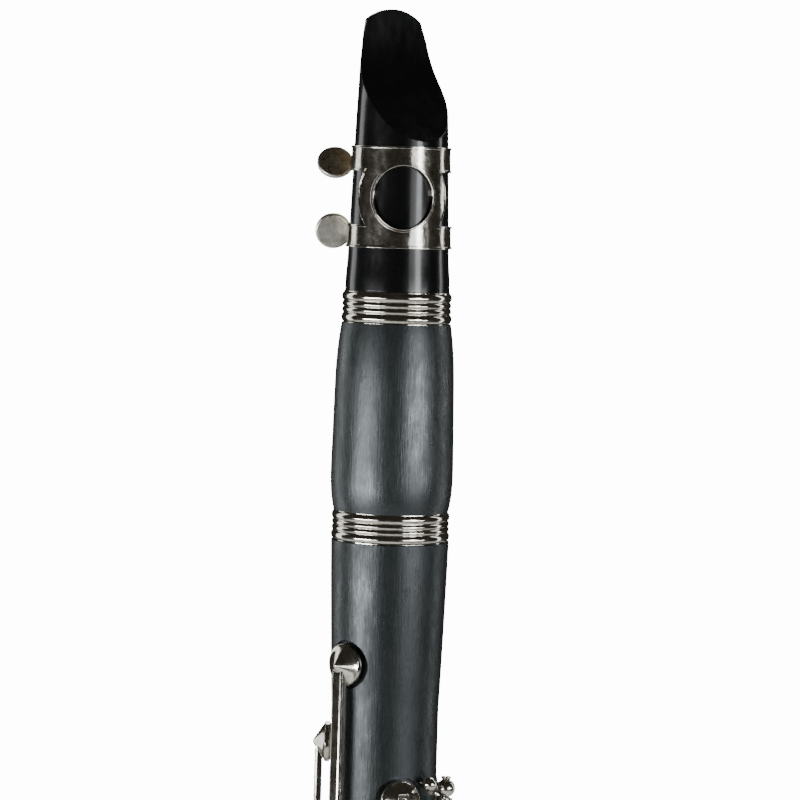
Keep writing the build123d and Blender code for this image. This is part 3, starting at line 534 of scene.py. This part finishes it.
def add_rod_heads(metal):
    """Slotted heads of the hinge screws, at both ends of every rod."""
    heads = Solid()
    for theta, radius, levels in long_rods():
        for way, level in ((1, levels[-1]), (-1, levels[0])):
            origin = outward(theta) * (radius + ROD_HEIGHT) + upward(level + way * POST_OVERHANG)
            heads.slotted_head(origin, upward(way), tangent(theta + SLOT_TURN), HEAD)
    for theta, level, end in CROSS_RODS:
        middle = outward(theta) * (UPPER_RADIUS + ROD_HEIGHT) + upward(level)
        slot = (outward(theta) + upward(SLOT_SLOPE)).normalized()
        for way in (-1, 1):
            axis = tangent(theta) * way
            heads.slotted_head(middle + axis * end, axis, slot, CROSS_HEAD)
    heads.piece("hinge_screw_heads", metal, "instrument_body")


def add_post_collars(metal):
    """Turned collars at the foot of the posts of the rods along the body."""
    collars = Solid()
    for theta, radius, levels in long_rods():
        for level in levels:
            collars.turn(outward(theta) * radius + upward(level), outward(theta), COLLAR)
    collars.piece("post_collars", metal, "instrument_body")


def add_bumpers(look):
    """Cork under the keys that rest on it, a little wider where it is glued to the key."""
    for body, (theta, level, underside, thickness) in BUMPERS.items():
        bumper = Solid()
        edge = min(BUMPER_ROUNDING, thickness / 3)
        outline = ((0, 0), (BUMPER_RADIUS - edge, 0), (BUMPER_RADIUS, edge),
                   (BUMPER_RADIUS + BUMPER_FLARE, thickness), (0, thickness))
        bumper.turn(outward(theta) * (underside - thickness) + upward(level), outward(theta), outline)
        bumper.piece(body + "_bumper", look, body)


# ---- studio --------------------------------------------------------------------------------------------

FLOOR_RADIUS = 1.4
SOFT_BOX_COLOUR = (0.95, 0.98, 1.0)
WHITE_STRENGTH = 14.0
ROOM_COLOUR = (0.027, 0.024, 0.020, 1)


def make_floor():
    mesh = bpy.data.meshes.new("floor")
    ring = [(FLOOR_RADIUS * cos(angle), FLOOR_RADIUS * sin(angle), 0) for angle in circle(96)]
    mesh.from_pydata(ring, [], [tuple(range(len(ring)))])
    mesh.materials.append(floor_paper())
    floor = bpy.data.objects.new("floor", mesh)
    SCENE.collection.objects.link(floor)


def make_world():
    """White seen straight on, and a dim warm room for everything that reflects it."""
    world = bpy.data.worlds.new("studio")
    world.use_nodes = True
    tree = world.node_tree
    tree.nodes.clear()
    white = tree.nodes.new("ShaderNodeBackground")
    white.inputs["Color"].default_value = (1, 1, 1, 1)
    white.inputs["Strength"].default_value = WHITE_STRENGTH
    room = tree.nodes.new("ShaderNodeBackground")
    room.inputs["Color"].default_value = ROOM_COLOUR
    room.inputs["Strength"].default_value = 1.0
    mix = tree.nodes.new("ShaderNodeMixShader")
    path = tree.nodes.new("ShaderNodeLightPath")
    out = tree.nodes.new("ShaderNodeOutputWorld")
    tree.links.new(path.outputs["Is Camera Ray"], mix.inputs[0])
    tree.links.new(room.outputs[0], mix.inputs[1])
    tree.links.new(white.outputs[0], mix.inputs[2])
    tree.links.new(mix.outputs[0], out.inputs["Surface"])
    SCENE.world = world


def soft_box(name, azimuth, height, size, radiance, distance=1.0, aim=None):
    """Softbox at an angle from the camera's own azimuth, upright unless it is aimed at another height."""
    data = bpy.data.lights.new(name, "AREA")
    data.shape = "RECTANGLE"
    data.size, data.size_y = size
    data.energy = radiance * pi * size[0] * size[1]
    data.color = SOFT_BOX_COLOUR
    light = bpy.data.objects.new(name, data)
    place = outward(CAMERA_AZIMUTH + azimuth) * distance + upward(height)
    target = upward(height if aim is None else aim)
    light.location = place
    light.rotation_euler = (target - place).to_track_quat("-Z", "Y").to_euler()
    light.visible_camera = False
    SCENE.collection.objects.link(light)


def light_studio():
    make_floor()
    make_world()
    soft_box("right_softbox", 46, 0.63, (0.22, 0.32), 8.5)
    soft_box("right_softbox_spill", 37, 0.63, (0.44, 0.32), 1.8, 1.02)
    soft_box("right_lower_softbox", 47, 0.50, (0.76, 0.13), 10.0)
    soft_box("left_softbox", -119, 0.70, (0.34, 1.2), 2.0)
    soft_box("low_left_softbox", -54, 0.385, (0.66, 0.16), 23.0)
    soft_box("low_left_accent", -30, 0.33, (0.14, 0.14), 8.0)
    soft_box("right_rim_softbox", 112, 0.75, (0.14, 1.3), 3.0)
    soft_box("back_softbox", 170, 1.35, (0.9, 0.6), 5.0, 1.0, 0.5)


# ---- scene ---------------------------------------------------------------------------------------------

def build():
    make_camera()
    by_slot, by_node = slot_materials(), node_materials()
    finish_nodes(by_slot, by_node)
    add_ligature_edges(by_node["ligature_band"])
    add_rod_heads(by_slot["nickel"])
    add_post_collars(by_slot["nickel"])
    add_bumpers(by_slot["cork"])
    light_studio()


build()
